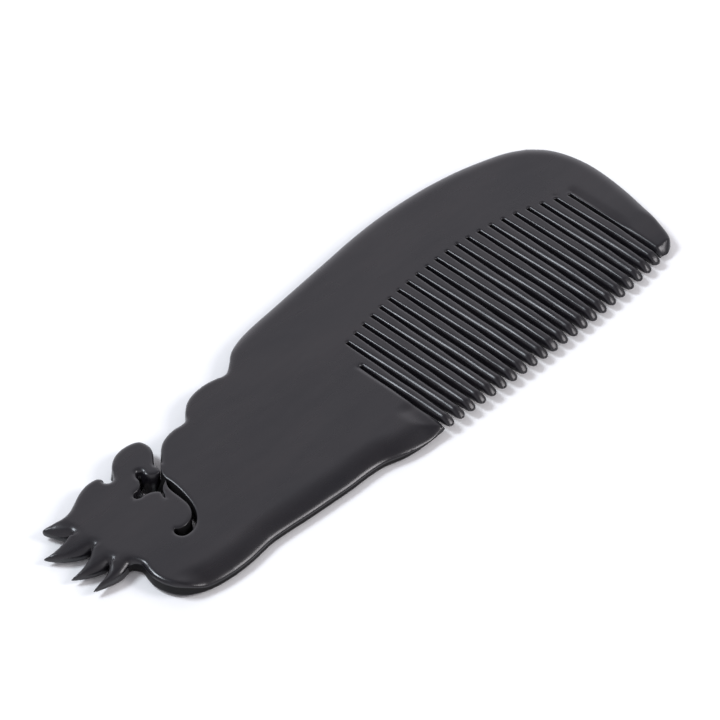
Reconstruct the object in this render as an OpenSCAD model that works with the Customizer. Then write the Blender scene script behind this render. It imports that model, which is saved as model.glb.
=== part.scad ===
// Hair and beard comb cut from one plate of black horn.
// +X runs along the comb to the front end of the blade, -Y is the way the teeth point,
// +Z is up through the plate. The comb lies flat, origin under the middle of its bounding box.

/* [Plate] */
// Thickness of the horn plate
plate_t = 4.2; // [3.4:0.1:5]
// Length of the handle and head behind the first gap, against its drawn length
handle_scale = 1; // [0.9:0.02:1.15]
// Height of the back above the drawing line at its highest point
back_h = 29; // [26:0.5:33]

/* [Teeth] */
// Number of narrow teeth
tooth_count = 22; // [16:1:24]
// Distance from one tooth to the next
tooth_pitch = 3.44; // [3:0.02:4]
// Width of the gap between two teeth
gap_w = 0.8; // [0.7:0.05:1]
// Width of a tooth at its round tip
tip_w = 2.4; // [1.4:0.1:2.4]
// Length over which a tooth narrows, seen from above
tip_l = 6; // [3:0.5:10]
// Thickness of a tooth at its tip
tip_t = 2.2; // [1.4:0.1:3]
// Length over which a tooth thins towards its tip, seen from the side
thin_l = 16; // [8:1:20]
// How far the longest tooth reaches below the drawing line
tip_y = -30.1; // [-33:0.1:-26]

/* [Head] */
// Thickness of the mane spikes at their tips
spike_t = 2; // [1.2:0.1:3]

/* [Hidden] */
// Points added between two control points of a smooth curve
curve_steps = 5;
tooth_w = tooth_pitch - gap_w;
// A tooth is never wider at its tip than at its root
nose_w = min(tip_w, tooth_w);
// Left wall of the first gap, and the right wall of the last one
row_x = 2.1;
blade_l = tooth_count * tooth_pitch + gap_w;
row_end = row_x + blade_l;
// The blade is drawn for a row of this length and is stretched to fit the real one
drawn_blade_l = 76.3;
blade_scale = blade_l / drawn_blade_l;
// Height of the back in the drawing
drawn_back_h = 29;
// The tooth roots and the tooth tips each follow an arc that peaks at row_mid
row_mid = row_x + 41 * blade_scale;
root_top = 9;
// Fall of the root arc and of the tip arc, behind row_mid and in front of it
root_fall = [0.003, 0.0064];
tip_fall = [0.0004, 0.0018];
// Root of the first gap, which is sawn less deep, and the tip of the front guard
first_root_y = -2.7;
guard_y = -27;
// The plate is divided into its regions along these lines
blade_x = -0.6;
guard_x = -8;
grip_x = -37.8 * handle_scale;
jaw_x = -62.4 * handle_scale;
mane_x = -77 * handle_scale;
chin_y = -12.5;
brow_y = 5.05;
// Longer than any region reaches
far = 140;

function tooth_name(i) = str("tooth_", i < 10 ? "0" : "", i);

// One point of a Catmull-Rom curve between b and c
function curve_point(a, b, c, d, t) =
    0.5 * (2 * b + (c - a) * t + (2 * a - 5 * b + 4 * c - d) * t * t
        + (3 * b - a - 3 * c + d) * t * t * t);

// A smooth curve through all the points of a stretch, with its two ends as corners
function smooth(p) = [
    for (i = [0:len(p) - 2])
        for (j = [0:curve_steps - 1])
            curve_point(p[max(i - 1, 0)], p[i], p[i + 1], p[min(i + 2, len(p) - 1)],
                j / curve_steps),
    p[len(p) - 1]
];

// Stretches of the blade are drawn for the standard row of teeth, then fitted to this row
function blade(p) = [for (q = p) [row_x + (q.x - row_x) * blade_scale, q.y]];
// Stretches of the back keep their shape while the height of the back changes
function back(p) = [for (q = p) [q.x, q.y * back_h / drawn_back_h]];
// Stretches of the handle and head grow with handle_scale
function handle(p) = [for (q = p) [q.x * handle_scale, q.y]];

// Front end: from the tip of the front guard up round the nose of the blade
front_end = blade([[79.2, -26.7], [80.6, -27], [82.2, -26.4], [83.7, -25.2], [85, -22.6],
    [87.2, -15], [88.8, -7], [89.7, 0], [89.8, 6], [88.8, 11.6], [86.8, 16.2], [83.6, 19.9]]);
// Back of the blade, a long flat arch
blade_back = back(blade([[83.6, 19.9], [79.4, 22.5], [73.7, 24.6], [66, 26.7], [57, 28.2],
    [48, 28.9], [40, 29], [32, 28.6], [22, 27.6], [11, 26.5], [2.1, 25.6]]));
// Top of the grip, with two scallops
grip_top = handle([[2.1, 25.6 * back_h / drawn_back_h], [-5, 24.9], [-10, 23.9], [-14, 22.3],
    [-17, 20], [-19.3, 18.4], [-21, 18.1], [-23, 18.7], [-26, 19.2], [-29.5, 19], [-32.4, 18.1],
    [-34.9, 16.3], [-36.7, 14.4], [-38.4, 13.9], [-41, 14.1], [-44, 13.6], [-46.4, 12.4],
    [-49.1, 9.9], [-51.1, 7.9], [-52.5, 6.1], [-53, 4.3]]);
// Neck side of the slot behind the jaw, and the round end of the slot
slot_outer = handle([[-53, 4.3], [-53, 2], [-53.4, -1], [-54, -3.6], [-54.8, -6],
    [-55.9, -8], [-57.4, -9.7], [-59.3, -10.9], [-61.3, -11.3], [-62.9, -10.9], [-63.6, -9.7],
    [-63.4, -8.5], [-62.6, -8]]);
// Jaw side of the slot, up to the point of the fang
slot_inner = handle([[-62.6, -8], [-61.9, -8.6], [-60.6, -9], [-59, -8.8], [-57.4, -8],
    [-56.1, -6.6], [-55.3, -4.8], [-55, -2.5], [-54.9, 0.2], [-54.6, 2], [-54, 3.1],
    [-53.4, 4]]);
// Front of the fang and the saw cut beside it
fang = handle([[-53.4, 4], [-54.4, 3.5], [-55.4, 2.9], [-56.2, 2.1], [-56.7, 1.1], [-57.5, 0.1]]);
saw_cut = handle([[-57.5, 0.1], [-57.2, 1.2], [-56.8, 2.2]]);
// Lower lip, the back of the mouth and the upper lip, down to the point of the beak
mouth = handle([[-56.8, 2.2], [-57.4, 3], [-58.5, 3.7], [-60, 4.1], [-61.2, 4.1], [-62, 4.6],
    [-62, 5.5], [-61.2, 6.1], [-60, 6.2], [-58.8, 6.7], [-57.8, 7.9], [-57.1, 9.2],
    [-56.5, 10.1], [-55.8, 10.3], [-55.3, 9.8], [-55.4, 8.8], [-54.9, 7.7], [-53.9, 6.9],
    [-52.9, 6.6], [-52.2, 6.9]]);
// Snout: from the beak round the nose to the notch in front of the brow
snout_top = handle([[-52.2, 6.9], [-52, 7.9], [-51.7, 9.2], [-50.5, 10.7], [-49.1, 12.3],
    [-48.3, 13.9], [-48.3, 15.7], [-49, 17.1], [-50.7, 17.9], [-53, 18.2], [-55.2, 17.9],
    [-57, 17.1], [-58.6, 15.8], [-59.9, 14.1], [-61, 12.9], [-62.1, 12.6], [-62.9, 13],
    [-63.2, 13.6]]);
// Brow and the top edge of the first spike
brow_top = handle([[-63.2, 13.6], [-62.8, 14.4], [-63.5, 15.5], [-65.2, 15.9], [-67.2, 15.8],
    [-69.8, 15], [-72.9, 13.5], [-75.1, 12.6], [-77.2, 12.3], [-79.4, 12.9], [-81.2, 13.6],
    [-82.1, 13.7]]);
// The four spikes of the mane, each one its lower edge and the next one's upper edge
spike_1_under = handle([[-82.1, 13.7], [-82.2, 13.1], [-81.9, 12.1], [-81.2, 10.4], [-80.3, 9],
    [-79.4, 7.9]]);
spike_2_over = handle([[-79.4, 7.9], [-81.5, 7.3], [-83.5, 7.1], [-85.6, 7.3], [-87.5, 7.7]]);
spike_2_under = handle([[-87.5, 7.7], [-86.2, 5.7], [-84.6, 4.1], [-82.8, 2.8], [-80.9, 1.8],
    [-79, 1.4]]);
spike_3_over = handle([[-79, 1.4], [-80.2, 0.4], [-82, -0.5], [-84.6, -1], [-87.6, -1]]);
spike_3_under = handle([[-87.6, -1], [-85.6, -2.4], [-83.4, -3.6], [-81.2, -4.3],
    [-79.3, -4.5]]);
spike_4_over = handle([[-79.3, -4.5], [-80.6, -5.7], [-82.5, -6.4], [-84.6, -6.7],
    [-86.7, -7]]);
// Lower edge of the last spike, the hollow under it and the round chin
chin_front = handle([[-86.7, -7], [-84.4, -7.7], [-81.6, -8.4], [-79.4, -8.6], [-77.6, -8.2],
    [-76.4, -8], [-75.4, -8.8], [-74.9, -10.4], [-75.5, -12.5], [-75.9, -14.8],
    [-75.6, -17.5], [-74.4, -20.3], [-72.4, -22.4], [-69.5, -24], [-66, -25],
    [-61.5, -25.5]]);
// Underside of the grip, ending in the heel in front of the first gap
grip_under = handle([[-61.5, -25.5], [-57, -25.5], [-53, -25.1], [-49, -24.7], [-44, -24.9],
    [-38, -25.4], [-31, -25.8], [-25, -26.1], [-19, -26.1], [-14.5, -26.6], [-10, -28],
    [-5, -28.9], [2.1, -29]]);

outline = concat(smooth(front_end), smooth(blade_back), smooth(grip_top), smooth(slot_outer),
    smooth(slot_inner), smooth(fang), smooth(saw_cut), smooth(mouth), smooth(snout_top),
    smooth(brow_top), smooth(spike_1_under), smooth(spike_2_over), smooth(spike_2_under),
    smooth(spike_3_over), smooth(spike_3_under), smooth(spike_4_over), smooth(chin_front),
    smooth(grip_under));

// Height of the tooth roots and of the tooth tips at x
function fall(x, rate) = rate[x < row_mid ? 0 : 1] * pow((x - row_mid) / blade_scale, 2);
function root_y(x) = root_top - fall(x, root_fall);
function point_y(x) = tip_y + fall(x, tip_fall);
// Middle of gap i, counted from 0 at the rear
function gap_x(i) = row_x + gap_w / 2 + i * tooth_pitch;
function gap_root(i) = i == 0 ? first_root_y : root_y(gap_x(i));
// Tooth i stands between gap i - 1 and gap i
function tooth_x(i) = gap_x(i) - tooth_pitch / 2;
function tooth_top(i) = min(gap_root(i - 1), gap_root(i));

// The comb is drawn from the heel of the blade, and moved so that its box is centred
xs = [for (p = outline) p.x];
ys = [for (p = outline) p.y];
middle = [(min(xs) + max(xs)) / 2, (min(min(ys), tip_y) + max(ys)) / 2];
module centred() {
    translate([-middle.x, -middle.y, 0]) children();
}

// The part of the outline that lies inside the child's region, as thick as the plate
module region() {
    centred() linear_extrude(plate_t) intersection() {
        polygon(outline);
        children();
    }
}

// Rectangle between two x lines and two y lines
module span(x0, x1, y0, y1) {
    translate([x0, y0]) square([x1 - x0, y1 - y0]);
}

// Side view of an end that thins on both faces to a round nose, drawn as [y, z] points.
// The profile is a parabola from end_y + thin_l down to the nose at end_y.
function half_t(s) = plate_t / 2 - (plate_t - tip_t) / 2 * pow(1 - s / thin_l, 2);
function nose_side(end_y) = concat(
    [[far, 0], [far, plate_t]],
    [for (s = [1:-0.2:0.2]) [end_y + s * thin_l, plate_t / 2 + half_t(s * thin_l)]],
    [for (a = [90:20:270]) [end_y + tip_t / 2 * (1 + cos(a)), plate_t / 2 + tip_t / 2 * sin(a)]],
    [for (s = [0.2:0.2:1]) [end_y + s * thin_l, plate_t / 2 - half_t(s * thin_l)]]);
module thinned_to(end_y) {
    intersection() {
        children();
        centred() translate([-far, 0, 0]) rotate([90, 0, 90]) linear_extrude(2 * far)
            polygon(nose_side(end_y));
    }
}

// Everything above the tooth tops and the gap roots
module above_row() {
    top_of_tooth = function(i) [
        [gap_x(i - 1) + gap_w / 2, tooth_top(i)],
        [gap_x(i) - gap_w / 2, tooth_top(i)]
    ];
    top_of_gap = function(i) [
        [gap_x(i) - gap_w / 2, gap_root(i)],
        [gap_x(i) + gap_w / 2, gap_root(i)]
    ];
    steps = [for (i = [0:tooth_count]) each concat(i == 0 ? [] : top_of_tooth(i), top_of_gap(i))];
    polygon(without_repeats(concat([[blade_x, first_root_y]], steps,
        [[far, gap_root(tooth_count)], [far, far], [blade_x, far]])));
}

function without_repeats(p) = [
    for (i = [0:len(p) - 1])
        if (i == 0 || norm(p[i] - p[i - 1]) > 0.01) p[i]
];

module back_plate() {
    color("#434348") region() above_row();
}

module front_guard() {
    color("#323236") thinned_to(guard_y)
        region() span(row_end, far, -far, gap_root(tooth_count));
}

module rear_guard() {
    color("#3a3a3f") region() span(guard_x, row_x, -far, first_root_y);
}

module grip() {
    color("#424247") region() difference() {
        span(grip_x, blade_x, -far, far);
        span(guard_x, row_x, -far, first_root_y);
    }
}

// The head side of a line that runs down the middle of the slot behind snout and jaw
module head_side() {
    polygon(concat([[-far, far], [-47.9 * handle_scale, far]],
        handle([[-47.9, 11.4], [-50.3, 9.5], [-51.5, 8.1], [-52.1, 6.9], [-52.7, 6.1],
            [-53.2, 4.2], [-53.9, 1], [-54.3, -2.5], [-55, -5.3], [-56.5, -7.8],
            [-59.5, -9.8], [-62.4, -9.7]]),
        [[jaw_x, -far], [-far, -far]]));
}

module neck() {
    color("#404045") region() difference() {
        span(jaw_x, grip_x, -far, far);
        head_side();
    }
}

module chin() {
    color("#3c3c41") region() span(-far, jaw_x, -far, chin_y);
}

module cheek() {
    color("#3e3e43") region() span(mane_x, jaw_x, chin_y, brow_y);
}

module brow() {
    color("#404045") region() span(mane_x, jaw_x, brow_y, far);
}

module snout() {
    color("#3f3f44") region() intersection() {
        span(jaw_x, 0, brow_y, far);
        head_side();
    }
}

module lower_jaw() {
    color("#3f3f44") region() intersection() {
        span(jaw_x, 0, -far, brow_y);
        head_side();
    }
}

// Cut under spike i: from far out in the open, through the notch, to the root of the mane
mane_cuts = [
    [[-95, 14], [-79.4, 7.9], [-77, 8.7]],
    [[-95, 2.4], [-79, 1.4], [-77, 2.6]],
    [[-95, -5.2], [-79.3, -4.5], [-77, -3.5]]
];
function cut_under(i) = handle(mane_cuts[i - 1]);
function reversed(p) = [for (i = [len(p) - 1:-1:0]) p[i]];

// The spikes thin on both faces from the root of the mane to their tips, seen along Y
module mane_side() {
    tip_x = -87.7 * handle_scale;
    low = (plate_t - spike_t) / 4;
    centred() translate([0, far, 0]) rotate([90, 0, 0]) linear_extrude(2 * far)
        polygon([[mane_x + 1, 0], [mane_x + 1, plate_t], [mane_x, plate_t],
            [tip_x, low + spike_t], [tip_x, low], [mane_x, 0]]);
}

module mane_spike(i) {
    above = i == 1 ? [[-far, far], [mane_x, far]] : cut_under(i - 1);
    below = i == 4 ? [[-far, -far], [mane_x, -far]] : cut_under(i);
    color("#38383c") intersection() {
        region() polygon(concat(above, reversed(below)));
        mane_side();
    }
}

// One tooth from above: parallel sides, then a taper to a round tip
module tooth_plan(i) {
    end_y = point_y(tooth_x(i));
    translate([tooth_x(i), 0]) polygon(concat(
        [[-tooth_w / 2, tooth_top(i)], [-tooth_w / 2, end_y + tip_l]],
        [for (a = [180:20:360]) [nose_w / 2 * cos(a), end_y + nose_w / 2 * (1 + sin(a))]],
        [[tooth_w / 2, end_y + tip_l], [tooth_w / 2, tooth_top(i)]]));
}

module tooth(i) {
    color("#3d3d42") thinned_to(point_y(tooth_x(i)))
        centred() linear_extrude(plate_t) tooth_plan(i);
}

back_plate();
front_guard();
rear_guard();
grip();
neck();
chin();
cheek();
brow();
snout();
lower_jaw();
for (i = [1:4]) mane_spike(i);
for (i = [1:tooth_count]) tooth(i);
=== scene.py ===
"""A beard comb of polished black horn, lying on a pale floor.

The CAD divides the one plate of horn into named nodes. For each node this script carves a closed mesh with
the real comb's surface: rounded edges, round teeth that thin to their tips, and hollowed mane spikes.
Lengths in the carving code are millimetres, and places are measured from the middle of the comb. The
finished meshes are in metres.
"""
from collections import Counter

import bpy
import numpy as np
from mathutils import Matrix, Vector
from mathutils.geometry import delaunay_2d_cdt


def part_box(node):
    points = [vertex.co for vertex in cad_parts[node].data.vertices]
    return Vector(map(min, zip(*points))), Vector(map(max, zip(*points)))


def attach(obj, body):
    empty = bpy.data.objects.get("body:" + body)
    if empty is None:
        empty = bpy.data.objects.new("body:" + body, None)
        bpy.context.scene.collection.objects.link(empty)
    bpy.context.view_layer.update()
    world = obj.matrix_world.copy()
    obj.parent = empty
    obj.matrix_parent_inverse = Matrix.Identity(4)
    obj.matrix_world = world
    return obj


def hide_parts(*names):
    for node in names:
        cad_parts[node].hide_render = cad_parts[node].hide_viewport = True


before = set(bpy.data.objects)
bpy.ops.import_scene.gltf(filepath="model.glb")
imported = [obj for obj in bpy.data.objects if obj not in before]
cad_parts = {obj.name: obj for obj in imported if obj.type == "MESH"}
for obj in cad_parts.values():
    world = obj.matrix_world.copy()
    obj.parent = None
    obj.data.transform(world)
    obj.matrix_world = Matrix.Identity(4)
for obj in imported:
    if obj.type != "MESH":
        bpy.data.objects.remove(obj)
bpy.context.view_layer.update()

MM = 0.001


# ---------------------------------------------------------------- places, from the CAD nodes
def box_mm(name):
    low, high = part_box(name)
    return np.array(low) / MM, np.array(high) / MM


names = sorted(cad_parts)
teeth = [name for name in names if name.startswith("tooth_")]
spikes = [name for name in names if name.startswith("mane_spike_")]
plate_t = box_mm("back_plate")[1][2]
tooth_boxes = [box_mm(name) for name in teeth]
tooth_xs = [(low[0] + high[0]) / 2 for low, high in tooth_boxes]
tooth_tips = [low[1] for low, high in tooth_boxes]
pitch = tooth_xs[1] - tooth_xs[0]
row_start = tooth_boxes[0][0][0]
row_end = tooth_boxes[-1][1][0]
root_xs = tooth_xs[1:]                # the first gap is sawn less deep, so it doesn't count here
root_ys = [high[1] for low, high in tooth_boxes[1:]]
front_guard_tip = box_mm("front_guard")[0][1]
chin_low, chin_high = box_mm("chin")
jaw_low, jaw_high = box_mm("lower_jaw")
snout_high = box_mm("snout")[1]
mane_low = np.min([box_mm(name)[0] for name in spikes], axis=0)
mane_high = np.max([box_mm(name)[1] for name in spikes], axis=0)
top_spike_tip = box_mm(spikes[0])[0][0]
walls_without_painted_shade = [*teeth, *spikes, "snout"]       # nodes whose side walls keep the polished horn, without the painted shade


# ---------------------------------------------------------------- the outline of each node
SNAP = 0.01                           # corners of neighbouring nodes nearer than this are one point
UPWARD = 0.05                         # a triangle whose normal rises more than this is on the upper face
EDGE_STEP = 0.5                       # longest step along the outline
FILL_STEP = 0.75                      # spacing of the points inside, and longest step along a seam
MANE_SEAM_STEP = 0.25                 # longest step along a seam in the mane
MANE_SEAM_X = mane_high[0] + 1        # the seams in the mane are nearer to the head's end than this
RINGS = [0.04, 0.12, 0.24, 0.42, 0.68, 1.0, 1.4, 1.9, 2.5, 3.2]   # rows of points along the outline


def plan_edges(node):
    """The node's outline from above: edges with the horn on their left."""
    mesh = node.data
    mesh.calc_loop_triangles()
    points = np.round(np.array([v.co[:2] for v in mesh.vertices]) / MM, 3)
    edges = set()
    for triangle in mesh.loop_triangles:
        if triangle.normal.z < UPWARD:
            continue
        corners = [tuple(points[i]) for i in triangle.vertices]
        for a, b in zip(corners, corners[1:] + corners[:1]):
            if (b, a) in edges:
                edges.remove((b, a))
            else:
                edges.add((a, b))
    return sorted(edges)


def shared_corners(outlines):
    """Maps each corner to one point that all the nodes meeting there share."""
    cells = {}
    shared = {}
    for point in sorted({p for edges in outlines.values() for edge in edges for p in edge}):
        cell = (int(point[0] // 1), int(point[1] // 1))
        near = [q for dx in (-1, 0, 1) for dy in (-1, 0, 1)
                for q in cells.get((cell[0] + dx, cell[1] + dy), [])
                if np.hypot(q[0] - point[0], q[1] - point[1]) < SNAP]
        shared[point] = near[0] if near else point
        if not near:
            cells.setdefault(cell, []).append(point)
    return shared


def split_at(edge, corners):
    """The edge, cut at every corner of a neighbour that lies on it."""
    a, b = np.array(edge)
    length = np.hypot(*(b - a))
    along = (corners - a) @ (b - a) / length
    aside = np.abs((corners - a) @ np.array([-(b - a)[1], (b - a)[0]])) / length
    on_it = (aside < SNAP) & (along > SNAP) & (along < length - SNAP)
    stops = corners[on_it][np.argsort(along[on_it])]
    points = [edge[0], *map(tuple, stops), edge[1]]
    return list(zip(points, points[1:]))


def steps_between(a, b, is_seam):
    """Points from a to b. Both sides of a seam get the same ones."""
    start, end = (a, b) if a < b else (b, a)
    length = float(np.hypot(end[0] - start[0], end[1] - start[1]))
    step = FILL_STEP if is_seam else EDGE_STEP
    if is_seam and max(a[0], b[0]) < MANE_SEAM_X:
        step = MANE_SEAM_STEP
    marks = set(np.linspace(0, 1, int(np.ceil(length / step)) + 1))
    if is_seam:
        near_ends = [r / length for r in RINGS if r < length / 2]
        marks = {m for m in marks if min(m, 1 - m) * length > RINGS[-1] + step / 2}
        marks |= {0.0, 1.0, *near_ends, *(1 - m for m in near_ends)}
    points = [(start[0] + (end[0] - start[0]) * m, start[1] + (end[1] - start[1]) * m)
              for m in sorted(marks)]
    points[0], points[-1] = start, end
    return points if a < b else points[::-1]


outlines = {name: plan_edges(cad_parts[name]) for name in names}
shared = shared_corners(outlines)
all_corners = np.array(sorted(set(shared.values())))
for name in names:
    snapped = [(shared[a], shared[b]) for a, b in outlines[name] if shared[a] != shared[b]]
    outlines[name] = [part for edge in snapped for part in split_at(edge, all_corners)]
use = Counter(tuple(sorted(edge)) for name in names for edge in outlines[name])


def is_seam(edge):
    """Whether the edge lies between two nodes, inside the real comb."""
    return use[tuple(sorted(edge))] > 1


# ---------------------------------------------------------------- the comb's real outline
REACH = 6.0                           # distances from the outline are not told apart beyond this
CHUNK = 500                           # points worked on at a time, which keeps the arrays small

outer = np.array([edge for name in names for edge in outlines[name] if not is_seam(edge)])
outer_along = outer[:, 1] - outer[:, 0]
outer_out = np.stack([outer_along[:, 1], -outer_along[:, 0]], axis=1)
outer_out /= np.linalg.norm(outer_out, axis=1)[:, None]


def outline_normals():
    """The outward direction at every point of the comb's real outline."""
    total = {}
    for name in names:
        for edge in outlines[name]:
            if is_seam(edge):
                continue
            a, b = np.array(edge)
            out = np.array([(b - a)[1], -(b - a)[0]]) / np.hypot(*(b - a))
            for p in steps_between(*edge, False):
                total[p] = total.get(p, 0) + out
    return {p: n / max(np.hypot(*n), 1e-6) for p, n in total.items()}


out_at = outline_normals()


def distance(points, edges):
    """Distance from each point to the nearest edge, or REACH if there's none nearer."""
    low, high = points.min(axis=0) - REACH, points.max(axis=0) + REACH
    close = np.all(edges.max(axis=1) > low, axis=1) & np.all(edges.min(axis=1) < high, axis=1)
    a, b = edges[close, 0], edges[close, 1]
    result = np.full(len(points), REACH)
    if not len(a):
        return result
    along = b - a
    square = (along ** 2).sum(axis=1)
    for i in range(0, len(points), CHUNK):
        to_p = points[i:i + CHUNK, None] - a[None]
        t = np.clip((to_p * along).sum(axis=2) / square, 0, 1)
        gap = np.linalg.norm(to_p - t[..., None] * along, axis=2)
        result[i:i + CHUNK] = np.minimum(REACH, gap.min(axis=1))
    return result


def inside(points, edges):
    """Even-odd test against one node's outline."""
    a, b = edges[:, 0], edges[:, 1]
    result = np.zeros(len(points), bool)
    for i in range(0, len(points), CHUNK):
        x, y = points[i:i + CHUNK, 0:1], points[i:i + CHUNK, 1:2]
        spans = (a[:, 1] > y) != (b[:, 1] > y)
        rise = np.where(b[:, 1] == a[:, 1], 1, b[:, 1] - a[:, 1])
        cross = a[:, 0] + (y - a[:, 1]) / rise * (b[:, 0] - a[:, 0])
        result[i:i + CHUNK] = (spans & (x < cross)).sum(axis=1) % 2 == 1
    return result


def ramp(low, high, v):
    """0 at low, 1 at high, and a smooth step between them. Low may be the larger one."""
    t = np.clip((v - low) / (high - low), 0, 1)
    return t * t * (3 - 2 * t)


def nearing(end, length, v):
    """0 where v is more than length above end, rising evenly to 1 at end."""
    return np.clip((end + length - v) / length, 0, 1)


def rounded(d, width, depth):
    """How far a surface has dropped at distance d from an edge that is rounded over width and depth."""
    t = np.clip(1 - d / width, 0, 1)
    return depth * (1 - np.sqrt(np.clip(1 - t * t, 0, 1)))


# ---------------------------------------------------------------- the mane's notches and grooves
MANE_EDGE_X = mane_high[0] + 3        # the outline's edges up to here can belong to a spike or a notch
NOTCH_TURN = -60                      # the outline turns right by more than this many degrees at a notch
FACES_DOWN = -0.15                    # an edge is a spike's lower one where it faces -Y more than this
HOLLOW_X = mane_high[0] + 5           # the spikes' hollows end before here
SPIKE_REACH = 3.2                     # how far the hollow of a spike goes in from its lower edge
WRONG_SIDE = 0.05                     # an edge doesn't count for points this far out on its other side
NOTCH_FADE = (1, 7)                   # distance from a notch over which the hollow grows weaker
NOTCH_LOSS = 0.75                     # share of the hollow lost there
GROOVE = np.array([3.2, 1.2])         # from a notch of the mane to the inner end of its groove
GROOVE_START = -0.5                   # its outer end fades in from here to the notch, as a share of it
GROOVE_LENGTH = np.hypot(*GROOVE)
GROOVE_ALONG = GROOVE / GROOVE_LENGTH
GROOVE_ASIDE = np.array([-GROOVE_ALONG[1], GROOVE_ALONG[0]])
GROOVE_UPPER = 1.2                    # width of a groove's gentle upper side
GROOVE_LOWER = 0.35                   # width of its steep lower side

in_mane = outer[:, :, 0].max(axis=1) < MANE_EDGE_X
lower_edges = outer[in_mane & (outer_out[:, 1] < FACES_DOWN)]
lower_edges_out = outer_out[in_mane & (outer_out[:, 1] < FACES_DOWN)]


def mane_notches():
    """The sharp inner corners between the mane spikes, from the top one down."""
    follows = {tuple(a): tuple(b) for a, b in outer}
    found = []
    for a, b in outer[in_mane]:
        u, v = b - a, np.array(follows[tuple(b)]) - b
        turn = np.degrees(np.arctan2(u[0] * v[1] - u[1] * v[0], u @ v))
        if turn < NOTCH_TURN:
            found.append(b)
    return sorted(found, key=lambda p: -p[1])


notches = mane_notches()


def groove_share(points):
    """How far, 0 to 1, each point is down in one of the grooves that run on from the mane's notches."""
    share = np.zeros(len(points))
    for notch in notches:
        t = (points - notch) @ GROOVE_ALONG / GROOVE_LENGTH
        s = (points - notch) @ GROOVE_ASIDE
        fade = ramp(GROOVE_START, 0, t) * ramp(1, 0, t)
        across = np.where(s > 0, 1 - ramp(0, GROOVE_UPPER, s), 1 - ramp(0, GROOVE_LOWER, -s))
        share = np.maximum(share, fade * across)
    return share


def under_share(points):
    """Nearness, 1 to 0, of each point to the lower edge of its own spike, weaker away from the notches."""
    share = np.zeros(len(points))
    a = lower_edges[:, 0]
    along = lower_edges[:, 1] - a
    for i in np.flatnonzero(points[:, 0] < HOLLOW_X):
        to_p = points[i] - a
        t = np.clip((to_p * along).sum(axis=1) / (along ** 2).sum(axis=1), 0, 1)
        gap = np.linalg.norm(to_p - t[:, None] * along, axis=1)
        gap[(to_p * lower_edges_out).sum(axis=1) > WRONG_SIDE] = np.inf
        to_notch = min(np.hypot(*(points[i] - notch)) for notch in notches)
        share[i] = (1 - ramp(0, SPIKE_REACH, gap.min())) * (1 - NOTCH_LOSS * ramp(*NOTCH_FADE, to_notch))
    return share


# ---------------------------------------------------------------- the kinds of edge
# Each pair is where a region hasn't begun and where it is complete
BACK_X, BACK_Y = (row_start - 22, row_start - 8), (10, 13)
FRONT_END_X, FRONT_END_Y = (row_end + 0.5, row_end + 3), (-18, -12)
UNDER_REAR_X, UNDER_FRONT_X = (chin_low[0] + 2, chin_low[0] + 8), (2, -4)
UNDER_Y = (-17, -20)
MOUTH_REAR_X = (jaw_low[0] - 3, jaw_low[0] - 1.5)
MOUTH_FRONT_X = (jaw_high[0] + 3.5, jaw_high[0] + 2.5)
MOUTH_LOW_Y = (jaw_low[1] - 5, jaw_low[1] - 3.5)
MOUTH_HIGH_Y = (jaw_high[1] + 4.5, jaw_high[1] + 3)
ROW_REAR_X = (row_start - 1.4, row_start - 0.9)
ROW_FRONT_X = (row_end + 1.4, row_end + 0.9)
ROW_ABOVE = 1.5                       # the row's own edges begin this far above the roots
MANE_X = (mane_high[0] + 3.5, mane_high[0] + 0.5)
MANE_Y = (chin_high[1] + 0.5, chin_high[1] + 4)

# Width and depth of the rounding
EDGE = np.array([1.2, 1.0])
BACK_MORE = np.array([1.8, 0.5])      # added along the back and round the front end
UNDER_MORE = np.array([3.3, 0.6])     # added under the grip and the chin
MANE_MORE = np.array([-0.2, -0.2])    # added in the mane
SPIKE_MORE = np.array([1.5, 0.8])     # and added again along the spikes' lower edges
MOUTH_EDGE = np.array([0.9, 0.3])
TOOTH_ROOT_EDGE = np.array([0.5, 0.35])
TOOTH_END_EDGE = np.array([1.25, 1.4])
TOOTH_TURN = 25                       # a tooth turns from its root's rounding to its end's over this length
TOOTH_WAVE = (0.28, 1.7)              # from tooth to tooth the width varies: share, radians per tooth
ALONG_WAVE = (0.18, 2.3, 0.45)        # and along each tooth: share, radians per tooth, radians per mm
WAVE_START = 3                        # both variations set in over this length below the roots
DEEPEST = 0.45                        # no rounding is deeper than this share of the thickness
LOWER_WIDTH, LOWER_DEPTH = 2.0, 1.0   # the lower face's rounding is no larger; in the row twice as deep


def regions(x, y, root_y):
    """How far, 0 to 1, each point is on the back, under the grip, at the mouth, in the row, in the mane."""
    back = ramp(*BACK_X, x) * ramp(*BACK_Y, y)
    back = np.maximum(back, ramp(*FRONT_END_X, x) * ramp(*FRONT_END_Y, y))
    under = ramp(*UNDER_REAR_X, x) * ramp(*UNDER_Y, y) * ramp(*UNDER_FRONT_X, x)
    mouth_x = ramp(*MOUTH_REAR_X, x) * ramp(*MOUTH_FRONT_X, x)
    mouth = mouth_x * ramp(*MOUTH_LOW_Y, y) * ramp(*MOUTH_HIGH_Y, y)
    row = ramp(*ROW_REAR_X, x) * ramp(*ROW_FRONT_X, x) * (y < root_y + ROW_ABOVE)
    mane = ramp(*MANE_X, x) * ramp(*MANE_Y, y)
    return back, under, mouth, row, mane


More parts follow.
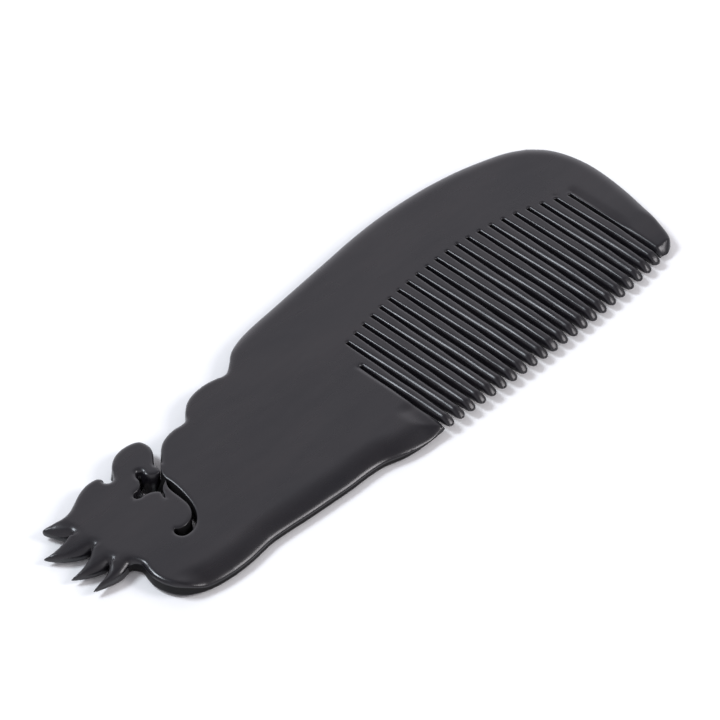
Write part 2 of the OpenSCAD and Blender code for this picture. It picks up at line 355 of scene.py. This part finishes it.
def tooth_rounding(x, y, root_y):
    """Width and depth of a tooth's rounding: flat-topped at its root, round at its end, a little uneven."""
    down = np.clip((root_y - y) / TOOTH_TURN, 0, 1)
    size = TOOTH_ROOT_EDGE + np.outer(down, TOOTH_END_EDGE - TOOTH_ROOT_EDGE)
    number = np.round((x - tooth_xs[0]) / pitch)
    wave = TOOTH_WAVE[0] * np.sin(TOOTH_WAVE[1] * number)
    wave += ALONG_WAVE[0] * np.sin(ALONG_WAVE[2] * y + ALONG_WAVE[1] * number)
    size[:, 0] *= 1 + ramp(0, WAVE_START, root_y - y) * wave
    return size


# ---------------------------------------------------------------- the two faces
THINNEST = 0.3                        # thickness of the plate's edge where both faces thin away
TOOTH_THIN_L = 17                     # the teeth thin over this length
TOOTH_THIN_TOP = (0.3, 0.7)           # off the upper face at the first tooth's tip, and further forward
TOOTH_THIN_BOTTOM = (1.9, 1.2)        # off the lower face, likewise
FORWARD_L = 46                        # "further forward" begins this far from the first tooth
NOSE_L, NOSE_DROP, NOSE_CURVE = 2.6, 1.35, 1.2    # the bevel at each tooth's tip
REAR_GUARD_X = (row_start - 16, row_start - 3)    # where the rear guard's thinning sets in
REAR_GUARD_END = row_start - 1.2
FRONT_GUARD_START = row_end + 0.6
GUARD_THIN_L, GUARD_THIN = 9, 1.0     # off the lower face of both guards and the upper one of the rear
FRONT_THIN_L, FRONT_THIN = 22, 1.2    # off the upper face of the front guard
FRONT_NOSE_L, FRONT_NOSE_DROP = 1.9, 1.3          # the bevel at the front guard's tip
UNDER_SLOPE_L, UNDER_SLOPE = 6, 0.8   # the soft slope under the grip and the chin
SPIKE_THIN_TOP = 1.5                  # off the upper face at a spike's tip
TOP_SPIKE_THIN = 0.9                  # the same for the top spike
SPIKE_THIN_BOTTOM = 0.7               # off the lower face at a spike's tip
SPIKE_CURVE = 1.3
SPIKE_HOLLOW, GROOVE_DEPTH = 0.4, 0.3


def tooth_thinning(x, y, tip_y):
    """What the teeth lose from the upper and the lower face."""
    forward = np.clip((x - tooth_xs[0]) / FORWARD_L, 0, 1)
    share = nearing(tip_y, TOOTH_THIN_L, y) ** 2
    from_top = (TOOTH_THIN_TOP[0] + (TOOTH_THIN_TOP[1] - TOOTH_THIN_TOP[0]) * forward) * share
    from_bottom = (TOOTH_THIN_BOTTOM[0] + (TOOTH_THIN_BOTTOM[1] - TOOTH_THIN_BOTTOM[0]) * forward) * share
    return from_top + NOSE_DROP * nearing(tip_y, NOSE_L, y) ** NOSE_CURVE, from_bottom


def guard_thinning(x, y, tip_y):
    """What the two guards lose from the upper and the lower face."""
    on_rear = ramp(*REAR_GUARD_X, x) * (x < REAR_GUARD_END)
    on_front = 1.0 * (x > FRONT_GUARD_START)
    both = GUARD_THIN * nearing(tip_y, GUARD_THIN_L, y) ** 2
    front = FRONT_THIN * nearing(tip_y, FRONT_THIN_L, y) ** 2
    front += FRONT_NOSE_DROP * nearing(front_guard_tip, FRONT_NOSE_L, y)
    return both * on_rear + front * on_front, both * (on_rear + on_front)


def spike_thinning(points, under):
    """What the spikes lose from the upper and the lower face, hollows and grooves included."""
    x, y = points[:, 0], points[:, 1]
    on_top_spike = ramp(notches[0][1], notches[0][1] + 1, y)
    tip_x = mane_low[0] + (top_spike_tip - mane_low[0]) * on_top_spike
    outward = nearing(tip_x, mane_high[0] - tip_x, x) ** SPIKE_CURVE
    thin = SPIKE_THIN_TOP + (TOP_SPIKE_THIN - SPIKE_THIN_TOP) * on_top_spike
    hollow = np.maximum(SPIKE_HOLLOW * under, GROOVE_DEPTH * groove_share(points))
    return thin * outward + hollow, SPIKE_THIN_BOTTOM * outward


def surfaces(points, d):
    """Heights of the upper and the lower face at points that lie d inside the outline."""
    x, y = points[:, 0], points[:, 1]
    tip_y = np.interp(x, tooth_xs, tooth_tips)
    root_y = np.interp(x, root_xs, root_ys)
    on_back, under_grip, at_mouth, in_row, in_mane_area = regions(x, y, root_y)
    under = under_share(points)
    top = np.full(len(points), plate_t)
    bottom = np.zeros(len(points))
    for share, (from_top, from_bottom) in [(in_row, tooth_thinning(x, y, tip_y)),
                                           (1, guard_thinning(x, y, tip_y)),
                                           (in_mane_area, spike_thinning(points, under))]:
        top -= share * from_top
        bottom += share * from_bottom
    top -= UNDER_SLOPE * under_grip * (1 - ramp(0, UNDER_SLOPE_L, d))
    size = EDGE + np.outer(on_back, BACK_MORE) + np.outer(under_grip, UNDER_MORE)
    size += np.outer(in_mane_area, MANE_MORE) + np.outer(in_mane_area * under, SPIKE_MORE)
    size += at_mouth[:, None] * (MOUTH_EDGE - size)
    size += in_row[:, None] * (tooth_rounding(x, y, root_y) - size)
    width, depth = size[:, 0], np.minimum(size[:, 1], DEEPEST * (top - bottom))
    top -= rounded(d, width, depth)
    bottom += rounded(d, np.minimum(width, LOWER_WIDTH), np.minimum(depth, LOWER_DEPTH * (1 + in_row)))
    middle = (top + bottom) / 2
    thick = np.maximum(top - bottom, THINNEST)
    return middle + thick / 2, middle - thick / 2


# ---------------------------------------------------------------- the walls that lean
FLARE = 3.0                           # how far the far walls of the mouth and the slot lean out at most
FLARE_STEPS = 60
LEAN_TO = np.array([-0.73, -0.68])    # the side that the leaning walls face
LEAN_FROM = (0.1, 0.5)                # a wall leans more the more it faces that side, between these shares
CLEARANCE = 0.3                       # a foot stays this far from the other walls
CLEAR_SHARE = 0.85                    # a wall nearer than this share of the foot's step isn't its own
FLARED_LOW = np.array([jaw_low[0] - 3, jaw_low[1] - 5])
FLARED_HIGH = np.array([jaw_high[0] + 8, snout_high[1] + 4])

leaning = outer[(outer_out @ LEAN_TO) > LEAN_FROM[0]]


def flare(p):
    """How far the foot of the wall leans out into the mouth and the slot, which narrow downwards."""
    if np.any(p < FLARED_LOW) or np.any(p > FLARED_HIGH):
        return 0.0
    out = out_at[tuple(p)]
    steps = np.linspace(0, FLARE, FLARE_STEPS + 1)[1:]
    feet = p + out * steps[:, None]
    blocked = distance(feet, leaning) < CLEAR_SHARE * steps
    blocked |= distance(feet, outer) < np.minimum(CLEARANCE, CLEAR_SHARE * steps)
    reach = steps[np.argmax(blocked)] if blocked.any() else FLARE
    return reach * ramp(*LEAN_FROM, float(out @ LEAN_TO))


# ---------------------------------------------------------------- the mesh of one node
CLOSE_RING = 0.6                      # rows nearer to the outline than this keep all but crowded points
CLOSE_GAP, RING_GAP = 0.05, 0.2       # least gaps between the points of close rows and of the others
RING_KEPT = 0.985                     # a row's point is kept if it is at this share of its distance or more
RING_TO_SEAM, GROOVE_TO_SEAM, FIELD_TO_SEAM = 0.15, 0.12, 0.35    # least distances from a seam
GROOVE_TO_EDGE, FIELD_TO_EDGE = 0.1, 0.8          # least distances from the outline
GROOVE_GAP, FIELD_GAP = 0.1, 0.45     # least gaps between a groove's or the field's points and the rest
GROOVE_ROWS = [-0.45, -0.25, -0.1, 0, 0.3, 0.6]   # rows of points along a groove, beside it
GROOVE_STOPS = np.linspace(0, 1.1, 14)            # points of such a row, as shares of the groove's length
ROW_SPACING = 0.87                    # rows of the field stand this share of FILL_STEP apart
INSIDE_ONLY = 1                       # the triangulation keeps what is inside the outline
MERGE = 1e-5                          # and takes points nearer than this as one
KEYS_PER_MM = 1e4                     # corners that agree to this precision are one place
FACE, WALL, SEAM = 0, 1, 2


def thinned_out(points, taken, gap):
    """The points, without those that lie nearer than gap to one already taken."""
    cells = {}
    for p in taken:
        cells.setdefault((int(p[0] // gap), int(p[1] // gap)), []).append(p)
    kept = []
    for p in points:
        i, j = int(p[0] // gap), int(p[1] // gap)
        near = (q for di in (-1, 0, 1) for dj in (-1, 0, 1) for q in cells.get((i + di, j + dj), ()))
        if all((q[0] - p[0]) ** 2 + (q[1] - p[1]) ** 2 >= gap * gap for q in near):
            cells.setdefault((i, j), []).append(p)
            kept.append(p)
    return kept


def fill_points(edges, border):
    """Points inside one node: rows along the outline, rows along the grooves, then an even field."""
    corners = np.array(edges)
    seams = np.array([edge for edge in edges if is_seam(edge)]).reshape(-1, 2, 2)

    def kept(points, to_edge, to_seam):
        clear = (distance(points, outer) > to_edge) & (distance(points, seams) > to_seam)
        return [tuple(p) for p in points[clear & inside(points, corners)]]

    start = np.array([p for p in border if p in out_at]).reshape(-1, 2)
    out = np.array([out_at[p] for p in border if p in out_at]).reshape(-1, 2)
    found = []
    for ring in RINGS:
        row = kept(start - out * ring, ring * RING_KEPT, RING_TO_SEAM)
        if ring > CLOSE_RING:
            found += thinned_out(row, found, RING_GAP)
        else:
            found += thinned_out(row, [], CLOSE_GAP)
    for notch in notches:
        rows = np.array([notch + GROOVE * t + GROOVE_ASIDE * s for s in GROOVE_ROWS for t in GROOVE_STOPS])
        found += thinned_out(kept(rows, GROOVE_TO_EDGE, GROOVE_TO_SEAM), found, GROOVE_GAP)
    low, high = corners.reshape(-1, 2).min(axis=0), corners.reshape(-1, 2).max(axis=0)
    ys = np.arange(low[1], high[1], FILL_STEP * ROW_SPACING)
    field = np.array([(x + (i % 2) * FILL_STEP / 2, y) for i, y in enumerate(ys)
                      for x in np.arange(low[0], high[0], FILL_STEP)])
    return found + thinned_out(kept(field, FIELD_TO_EDGE, FIELD_TO_SEAM), found, FIELD_GAP)


def carve(name):
    """Corners, triangles and each triangle's kind, for one node's closed mesh."""
    edges = outlines[name]
    border, links = {}, []
    for edge in edges:
        stops = steps_between(*edge, is_seam(edge))
        for p in stops:
            border.setdefault(p, len(border))
        links += [(border[a], border[b], is_seam(edge)) for a, b in zip(stops, stops[1:])]
    plan = list(border) + fill_points(edges, border)
    _, _, triangles, origin, _, _ = delaunay_2d_cdt(
        [Vector(p) for p in plan], [link[:2] for link in links], [], INSIDE_ONLY, MERGE)
    if [len(ids) for ids in origin] != [1] * len(plan):
        raise SystemExit(f"{name}: the triangulation added or merged points")
    order = [ids[0] for ids in origin]
    place = np.array([plan[i] for i in order])
    new_id = {old: new for new, old in enumerate(order)}
    on_outline = np.array([i < len(border) and plan[i] in out_at for i in order])
    d = np.where(on_outline, 0.0, distance(place, outer))
    top, bottom = surfaces(place, d)
    upper = np.column_stack([place, top])
    lower = np.column_stack([place, bottom])
    for i in np.flatnonzero(on_outline):
        lower[i, :2] += out_at[tuple(place[i])] * flare(place[i])
    count = len(place)
    faces, kinds = [], []
    for a, b, c in triangles:
        faces += [(a, b, c), (c + count, b + count, a + count)]
        kinds += [FACE, FACE]
    for a, b, seam in links:
        a, b = new_id[a], new_id[b]
        if tuple(place[a]) < tuple(place[b]):
            faces += [(a + count, b + count, b), (a + count, b, a)]
        else:
            faces += [(a + count, b + count, a), (b + count, b, a)]
        kinds += [SEAM, SEAM] if seam else [WALL, WALL]
    return np.vstack([upper, lower]), np.array(faces), np.array(kinds)


def unit(v):
    return v / np.maximum(np.linalg.norm(v, axis=1), 1e-12)[:, None]


def shared_normals(carved):
    """One normal for each place on the comb's surface, the same on both sides of every seam."""
    keys = [np.round(corners * KEYS_PER_MM).astype(int) for corners, _, _ in carved.values()]
    _, ids = np.unique(np.concatenate(keys), axis=0, return_inverse=True)
    ids = ids.ravel()
    normals = np.zeros((ids.max() + 1, 3))
    place_ids, start = {}, 0
    for name, (corners, faces, kinds) in carved.items():
        mine = ids[start:start + len(corners)]
        start += len(corners)
        place_ids[name] = mine
        shown = faces[kinds != SEAM]
        p = corners[shown]
        face_normal = unit(np.cross(p[:, 1] - p[:, 0], p[:, 2] - p[:, 0]))
        for k in range(3):
            u, v = unit(p[:, (k + 1) % 3] - p[:, k]), unit(p[:, (k + 2) % 3] - p[:, k])
            angle = np.arccos(np.clip((u * v).sum(axis=1), -1, 1))
            np.add.at(normals, mine[shown[:, k]], face_normal * angle[:, None])
    return unit(normals), place_ids


def build(name, corners, faces, kinds, normals, materials):
    """The node's mesh object, in metres, with the comb's shared normals."""
    mesh = bpy.data.meshes.new(name + "_horn")
    mesh.from_pydata((corners * MM).tolist(), [], faces.tolist())
    for material in materials:
        mesh.materials.append(material)
    # The other side walls get the darker, barely reflective horn: painted shade that darkens them.
    wall_with_painted_shade = (kinds == WALL) & (name not in walls_without_painted_shade)
    mesh.polygons.foreach_set("material_index", wall_with_painted_shade.astype(np.int32))
    mesh.shade_smooth()
    p = corners[faces]
    flat = unit(np.cross(p[:, 1] - p[:, 0], p[:, 2] - p[:, 0]))
    per_corner = normals[faces]
    per_corner[kinds == SEAM] = flat[kinds == SEAM][:, None]
    mesh.normals_split_custom_set(per_corner.reshape(-1, 3).tolist())
    piece = bpy.data.objects.new(name + "_horn", mesh)
    bpy.context.scene.collection.objects.link(piece)
    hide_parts(name)
    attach(piece, "root")


# ---------------------------------------------------------------- materials
HORN_IOR = 1.54


def horn(name, specular, dull, shiny, dark, light):
    """Black horn: faint grain along the comb, fine polishing marks, slightly uneven gloss."""
    material = bpy.data.materials.new(name)
    material.use_nodes = True
    tree = material.node_tree
    shader = tree.nodes["Principled BSDF"]
    shader.inputs["IOR"].default_value = HORN_IOR
    shader.inputs["Specular IOR Level"].default_value = specular

    def node(kind, **values):
        made = tree.nodes.new(kind)
        for key, value in values.items():
            made.inputs[key].default_value = value
        return made

    place = tree.nodes.new("ShaderNodeTexCoord").outputs["Object"]

    def noise(stretch, scale, detail, roughness=0.5):
        mapping = node("ShaderNodeMapping", Scale=stretch)
        tree.links.new(place, mapping.inputs["Vector"])
        made = node("ShaderNodeTexNoise", Scale=scale, Detail=detail, Roughness=roughness)
        tree.links.new(mapping.outputs["Vector"], made.inputs["Vector"])
        return made.outputs["Fac"]

    def ramped(value, low, high, low_colour, high_colour):
        made = tree.nodes.new("ShaderNodeValToRGB")
        first, last = made.color_ramp.elements
        first.position, last.position = low, high
        first.color, last.color = (*low_colour, 1), (*high_colour, 1)
        tree.links.new(value, made.inputs["Fac"])
        return made.outputs["Color"]

    grain = noise(stretch=(0.25, 1, 1), scale=160, detail=6, roughness=0.6)
    tree.links.new(ramped(grain, 0.35, 0.75, dark, light), shader.inputs["Base Color"])
    patches = noise(stretch=(0.4, 1, 1), scale=90, detail=5)
    tree.links.new(ramped(patches, 0.3, 0.7, [shiny] * 3, [dull] * 3), shader.inputs["Roughness"])
    marks = node("ShaderNodeBump", Strength=0.12, Distance=0.00002)
    tree.links.new(noise(stretch=(0.06, 1, 1), scale=2600, detail=3), marks.inputs["Height"])
    waves = node("ShaderNodeBump", Strength=0.35, Distance=0.0002)
    tree.links.new(noise(stretch=(0.5, 1, 1), scale=120, detail=2), waves.inputs["Height"])
    tree.links.new(marks.outputs["Normal"], waves.inputs["Normal"])
    tree.links.new(waves.outputs["Normal"], shader.inputs["Normal"])
    return material


def polished_horn():
    return horn("polished_horn", specular=0.5, dull=0.33, shiny=0.23,
                dark=(0.007, 0.0065, 0.009), light=(0.014, 0.012, 0.014))


# A darker, barely reflective copy of the horn for the side walls: painted shade, not a finish of its own.
def horn_with_painted_shade():
    return horn("painted_shade_horn", specular=0.12, dull=0.6, shiny=0.45,
                dark=(0.004, 0.004, 0.0045), light=(0.012, 0.011, 0.011))


def floor_material():
    material = bpy.data.materials.new("pale_floor")
    material.use_nodes = True
    shader = material.node_tree.nodes["Principled BSDF"]
    shader.inputs["Base Color"].default_value = (0.97, 0.97, 0.96, 1)
    shader.inputs["Roughness"].default_value = 0.9
    shader.inputs["Specular IOR Level"].default_value = 0.0
    return material


# ---------------------------------------------------------------- floor, light and camera
VIEW_AZIMUTH = -46.7                  # degrees; 0 looks along +Y
VIEW_ELEVATION = 44.2                 # degrees above the floor
VIEW_DISTANCE = 1.135                 # metres
AIM = Vector((0.00244, -0.00082, 0.0042))         # metres
LENS, SENSOR = 250, 36                # mm
FLOOR_HALF = 6.0                      # metres
SOFTBOX_AWAY = 1.2                    # metres from the aim
STUDIO_TINT = (0.95, 0.93, 1.0)
# Brightness of the studio: 0 is the horizon on the camera's side, 0.5 is overhead, 1 is behind the comb
STUDIO = [(0.0, 1.0), (0.15, 0.7), (0.35, 0.35), (0.5, 0.25), (0.65, 0.35), (0.78, 0.58), (0.86, 0.78),
          (1.0, 1.6)]


def direction(azimuth, elevation):
    """Unit vector from the comb towards a place at that azimuth and elevation."""
    a, e = np.radians(azimuth), np.radians(elevation)
    return Vector((np.sin(a) * np.cos(e), -np.cos(a) * np.cos(e), np.sin(e)))


def look_at(thing, target):
    thing.rotation_euler = (target - thing.location).to_track_quat("-Z", "Y").to_euler()


def softbox(name, azimuth, elevation, size, watts, colour):
    """A rectangular area light aimed at the comb."""
    data = bpy.data.lights.new(name, "AREA")
    data.shape = "RECTANGLE"
    data.size, data.size_y = size
    data.energy = watts
    data.color = colour
    light = bpy.data.objects.new(name, data)
    light.location = AIM + direction(azimuth, elevation) * SOFTBOX_AWAY
    look_at(light, AIM)
    bpy.context.scene.collection.objects.link(light)


def build_floor():
    mesh = bpy.data.meshes.new("floor")
    r = FLOOR_HALF
    mesh.from_pydata([(-r, -r, 0), (r, -r, 0), (r, r, 0), (-r, r, 0)], [], [(0, 1, 2, 3)])
    mesh.materials.append(floor_material())
    floor = bpy.data.objects.new("floor", mesh)
    bpy.context.scene.collection.objects.link(floor)


def build_studio():
    """The world around the comb: bright behind it and dim overhead."""
    world = bpy.data.worlds.new("studio")
    world.use_nodes = True
    tree = world.node_tree
    toward = tree.nodes.new("ShaderNodeTexCoord")
    behind = tree.nodes.new("ShaderNodeVectorMath")
    behind.operation = "DOT_PRODUCT"
    behind.inputs[1].default_value = direction(VIEW_AZIMUTH + 180, 0)
    half = tree.nodes.new("ShaderNodeMapRange")
    half.inputs["From Min"].default_value = -1
    bright = tree.nodes.new("ShaderNodeValToRGB")
    tree.links.new(toward.outputs["Generated"], behind.inputs[0])
    tree.links.new(behind.outputs["Value"], half.inputs["Value"])
    tree.links.new(half.outputs["Result"], bright.inputs["Fac"])
    stops = bright.color_ramp.elements
    stops[0].position, stops[1].position = STUDIO[0][0], STUDIO[-1][0]
    for position, _ in STUDIO[1:-1]:
        stops.new(position)
    for stop, (_, level) in zip(stops, STUDIO):
        stop.color = (*(level * tint for tint in STUDIO_TINT), 1)
    tree.links.new(bright.outputs["Color"], tree.nodes["Background"].inputs["Color"])
    bpy.context.scene.world = world
    bpy.context.scene.view_settings.view_transform = "Standard"


def build_camera():
    data = bpy.data.cameras.new("camera")
    data.lens = LENS
    data.sensor_width = SENSOR
    data.clip_end = 50
    camera = bpy.data.objects.new("camera", data)
    camera.location = AIM + direction(VIEW_AZIMUTH, VIEW_ELEVATION) * VIEW_DISTANCE
    look_at(camera, AIM)
    bpy.context.scene.collection.objects.link(camera)
    bpy.context.scene.camera = camera


carved = {name: carve(name) for name in names}
normals, place_ids = shared_normals(carved)
materials = [polished_horn(), horn_with_painted_shade()]
for name, (corners, faces, kinds) in carved.items():
    build(name, corners, faces, kinds, normals[place_ids[name]], materials)
build_floor()
build_studio()
softbox("back left", azimuth=-145, elevation=50, size=(0.38, 0.38), watts=9, colour=(0.86, 0.92, 1.0))
softbox("front right", azimuth=36, elevation=36, size=(0.45, 0.4), watts=5.5, colour=(1.0, 0.97, 1.0))
build_camera()
